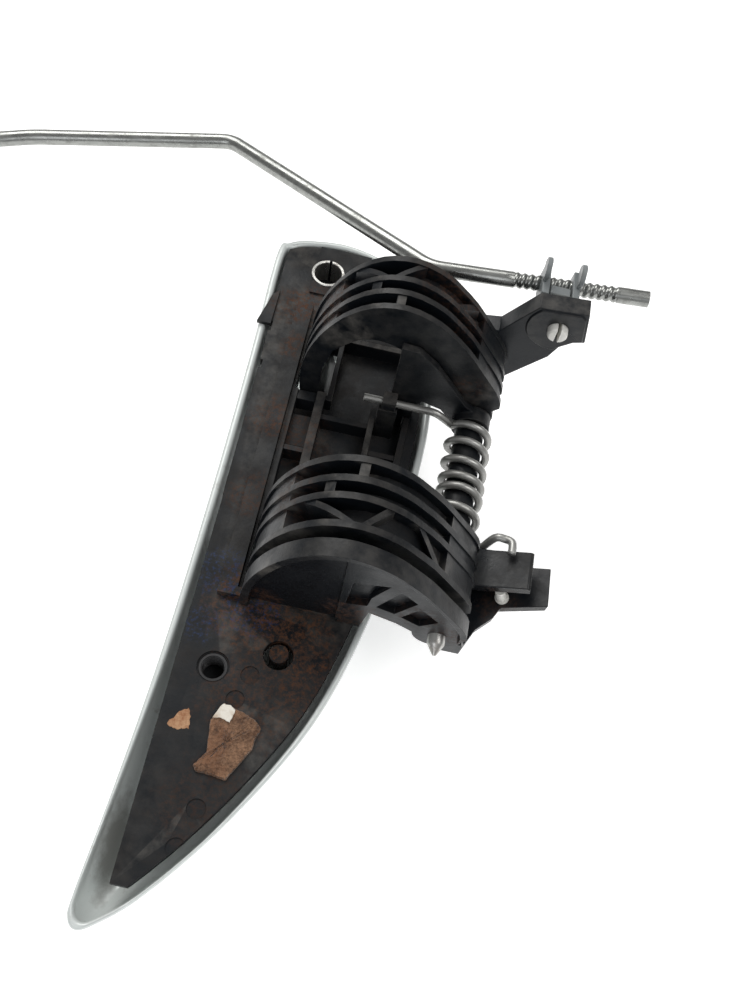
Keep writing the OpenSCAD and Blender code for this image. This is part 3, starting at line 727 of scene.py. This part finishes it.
def ragged(points, steps, amount):
    out = []
    n = len(points)
    for i in range(n):
        a, b = Vector(points[i]), Vector(points[(i + 1) % n])
        for k in range(steps):
            p = a + (b - a) * (k / steps)
            out.append(p + Vector((random.uniform(-amount, amount), random.uniform(-amount, amount))))
    return out


def flat_patch(name, outline, z0, z1, lump):
    """A thin lumpy patch with a ragged edge and a grid of points over it."""
    middle = sum(outline, Vector((0, 0))) / len(outline)
    rings = [[(*p, z0) for p in outline]]
    for share, height in ((0.0, 0.55), (0.04, 0.95), (0.2, 1.0), (0.4, 1.0), (0.6, 1.0), (0.8, 1.0), (0.96, 1.0)):
        rings.append([(*(p + (middle - p) * share), z0 + (z1 - z0) * height - random.uniform(0, lump))
                      for p in outline])
    return loft(name, rings)


pad = flat_patch("foam_patch", ragged(PAD, 6, 0.12), pad_low.z / MM, pad_high.z / MM, 0.35)
soften(pad, 0)
finish_piece(pad, foam_mat, "housing", "brown_foam", "foam_pad")
paper_low, paper_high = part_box("pad_backing")
PAPER = [(0.5, -122.8), (2.0, -119.6), (3.4, -119.5), (4.9, -120.3), (4.3, -123.2), (2.6, -122.6)]
backing = flat_patch("paper_patch", ragged(PAPER, 5, 0.1), paper_low.z / MM, paper_high.z / MM, 0.04)
finish_piece(backing, paper_mat, "housing", "cream_paper", "pad_backing")
residue = flat_patch("glue_residue", ragged([(-8.4, -125.6), (-6.4, -122.6), (-4.6, -121.5), (-3.8, -123.8),
                                             (-3.6, -125.8), (-5.2, -126.2), (-6.7, -126.5)], 4, 0.2), 0.0, 0.12, 0.05)
finish_piece(residue, glue_mat, "housing", "brown_foam")

# ------------------------------------------------------------- thread in insert

insert_low, insert_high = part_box("screw_insert")
INSERT_X = (insert_low.x + insert_high.x) / 2 / MM
INSERT_Y = (insert_low.y + insert_high.y) / 2 / MM


def thread_coil():
    top, turns, pitch, r = insert_high.z / MM - 0.3, 6, 0.95, 2.52
    path = [(INSERT_X + r * math.cos(a), INSERT_Y + r * math.sin(a), top - pitch * a / (2 * math.pi))
            for a in (2 * math.pi * k / 24 for k in range(24 * turns))]
    return tube("insert_thread", path, 0.24, 6)


finish_piece(thread_coil(), dark_steel_mat, "housing", "dark_steel")

# ------------------------------------------------------- floor, lights and camera

floor_z = cad_box[0].z - 0.0002
floor = object_from("floor", [(-900, -900, 0), (900, -900, 0), (900, 900, 0), (-900, 900, 0)], [(0, 1, 2, 3)])
floor.location.z = floor_z
floor_paint = Paint("floor_white")
floor_colour = floor_paint.mix(floor_paint.noise(8, 3), (0.9, 0.9, 0.895), (0.93, 0.93, 0.93))
floor_paint.set(Base_Color=floor_colour, Roughness=0.8,
                Emission_Color=(1.0, 1.0, 1.0), Emission_Strength=0.5)
dress(floor, floor_paint.mat)


def area_light(name, location, target, size, power, colour=(1, 1, 1)):
    light = bpy.data.lights.new(name, "AREA")
    light.shape = "RECTANGLE"
    light.size, light.size_y = size
    light.energy = power
    light.color = colour
    obj = new_object(name, light)
    obj.location = location
    direction = Vector(target) - Vector(location)
    obj.rotation_euler = direction.to_track_quat("-Z", "Y").to_euler()
    return obj


centre = (0.01, -0.06, 0.0)
area_light("window_light", (-0.35, 0.5, 0.75), centre, (0.7, 0.5), 5.4, (1.0, 0.99, 0.97))
area_light("ceiling_light", (0.45, -0.1, 0.8), centre, (0.5, 0.5), 2.6, (1.0, 0.99, 0.98))
area_light("fill_light", (-0.2, -0.7, 0.5), centre, (0.6, 0.4), 1.3, (0.95, 0.97, 1.0))

world = bpy.data.worlds.new("studio")
bpy.context.scene.world = world
world.use_nodes = True
background = world.node_tree.nodes["Background"]
background.inputs["Color"].default_value = (1, 1, 1, 1)
background.inputs["Strength"].default_value = 0.3

camera = new_object("camera", bpy.data.cameras.new("camera"))
camera.data.sensor_width = 36
camera.data.lens = 35.28
camera.data.clip_start = 0.01
camera.data.clip_end = 10
look = Vector((0.0234, 0.479, -0.877)).normalized()
right = Vector((0.976, 0.177, 0.123))
right = (right - look * right.dot(look)).normalized()
up = right.cross(look)
camera.matrix_world = Matrix((
    (right.x, up.x, -look.x, 0.01904),
    (right.y, up.y, -look.y, -0.17531),
    (right.z, up.z, -look.z, 0.20397),
    (0, 0, 0, 1)))
bpy.context.scene.camera = camera

scene = bpy.context.scene
scene.view_settings.view_transform = "Standard"
